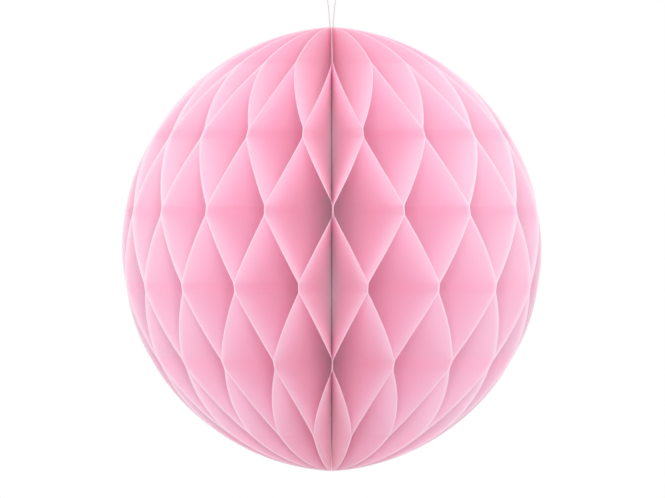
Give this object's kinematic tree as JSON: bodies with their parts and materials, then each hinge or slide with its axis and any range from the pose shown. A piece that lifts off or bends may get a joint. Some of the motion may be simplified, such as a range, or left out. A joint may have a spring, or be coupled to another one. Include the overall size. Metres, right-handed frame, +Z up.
{
  "type": "honeycomb paper ball",
  "caption": "Round hanging decoration of zigzag tissue sheets glued in alternating stripes, fanned round a spine and closed by cards, on a thread loop.",
  "frame": {"origin": "centre of the ball", "axes": "+Z up along the spine towards the thread, -Y towards the front, +Y towards the seam between the two cards"},
  "size_m": [0.1884, 0.1876, 0.2252],
  "materials": {
    "tissue": "matte",
    "card": "matte",
    "adhesive": "satin",
    "thread": "matte"
  },
  "bodies": {
    "root": {"tissue_sheet_01": "tissue", "tissue_sheet_02": "tissue", "tissue_sheet_03": "tissue", "tissue_sheet_04": "tissue", "tissue_sheet_05": "tissue", "tissue_sheet_06": "tissue", "tissue_sheet_07": "tissue", "tissue_sheet_08": "tissue", "tissue_sheet_09": "tissue", "tissue_sheet_10": "tissue", "tissue_sheet_11": "tissue", "tissue_sheet_12": "tissue", "tissue_sheet_13": "tissue", "tissue_sheet_14": "tissue", "tissue_sheet_15": "tissue", "tissue_sheet_16": "tissue", "tissue_sheet_17": "tissue", "tissue_sheet_18": "tissue", "tissue_sheet_19": "tissue", "tissue_sheet_20": "tissue", "tissue_sheet_21": "tissue", "tissue_sheet_22": "tissue", "tissue_sheet_23": "tissue", "tissue_sheet_24": "tissue", "tissue_sheet_25": "tissue", "tissue_sheet_26": "tissue", "tissue_sheet_27": "tissue", "tissue_sheet_28": "tissue", "tissue_sheet_29": "tissue", "tissue_sheet_30": "tissue", "tissue_sheet_31": "tissue", "tissue_sheet_32": "tissue", "tissue_sheet_33": "tissue", "tissue_sheet_34": "tissue", "tissue_sheet_35": "tissue", "tissue_sheet_36": "tissue", "tissue_sheet_37": "tissue", "tissue_sheet_38": "tissue", "card_left": "card", "card_right": "card", "adhesive_strip_upper": "adhesive", "adhesive_strip_lower": "adhesive", "hanging_thread": "thread", "thread_knot": "thread"}
  },
  "joints": []
}
